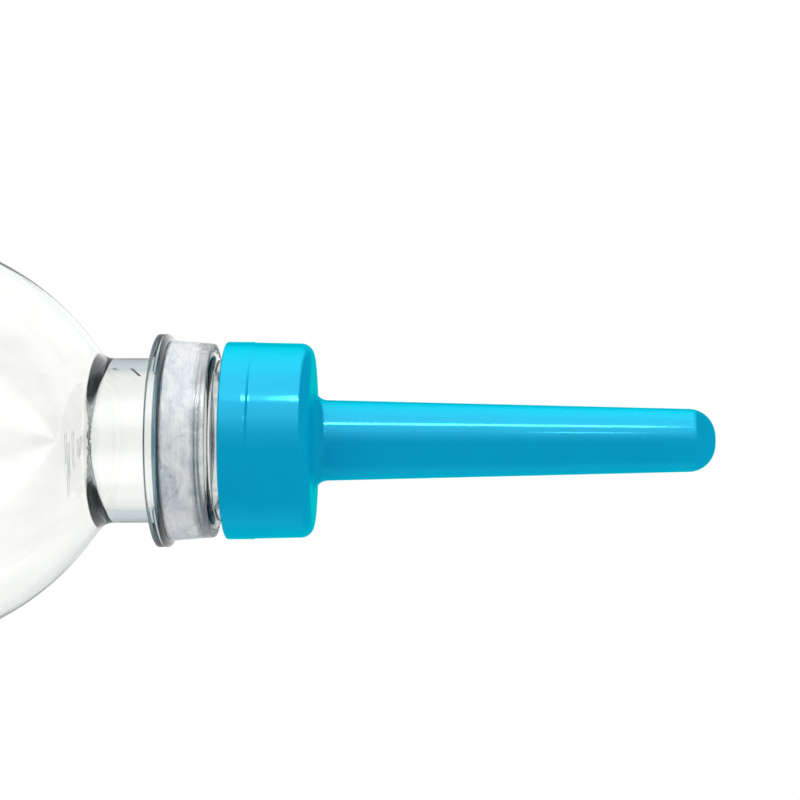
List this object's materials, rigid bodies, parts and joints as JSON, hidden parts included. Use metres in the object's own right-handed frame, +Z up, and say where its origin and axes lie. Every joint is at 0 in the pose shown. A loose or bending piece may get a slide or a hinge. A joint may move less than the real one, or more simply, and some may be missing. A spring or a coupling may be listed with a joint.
{
  "type": "small animal water bottle",
  "caption": "Clear bottle with a screw neck and a one-piece drinking cap whose long tapered spout holds a ball valve at its tip.",
  "frame": {"origin": "middle of the base, on the surface that the bottle stands on", "axes": "+Z up along the bottle's axis, from its base to the tip of the spout"},
  "size_m": [0.065, 0.065, 0.2698],
  "materials": {
    "clear_pet": "glossy, water clear, faintly blue-grey at thick edges",
    "frosted_band": "translucent natural plastic, scuffed",
    "washer_rubber": "matte, off-white",
    "blue_plastic": "glossy moulded, cyan blue",
    "ball_steel": "polished stainless steel"
  },
  "bodies": {
    "bottle": {"bottle": "clear_pet"},
    "band": {"tamper_band": "frosted_band"},
    "washer": {"seal_washer": "washer_rubber"},
    "cap": {"cap_spout": "blue_plastic"},
    "ball": {"valve_ball": "ball_steel"}
  },
  "joints": [
    {"name": "band_turn", "type": "hinge", "parent": "bottle", "child": "band", "pos_m": [0, 0, 0.189], "axis": [0, 0, 1], "continuous": true},
    {"name": "washer_lift", "type": "slide", "parent": "bottle", "child": "washer", "axis": [0, 0, 1], "range_m": [0, 0.01273]},
    {"name": "cap_turn", "type": "hinge", "parent": "washer", "child": "cap", "pos_m": [0, 0, 0.2], "axis": [0, 0, 1], "range_deg": [0, 1440]},
    {"name": "ball_lift", "type": "slide", "parent": "cap", "child": "ball", "axis": [0, 0, 1], "range_m": [0, 0.0024]}
  ],
  "couplings": [
    {"joint": "washer_lift", "follows": "cap_turn", "m_per_rad": 0.00050611}
  ]
}
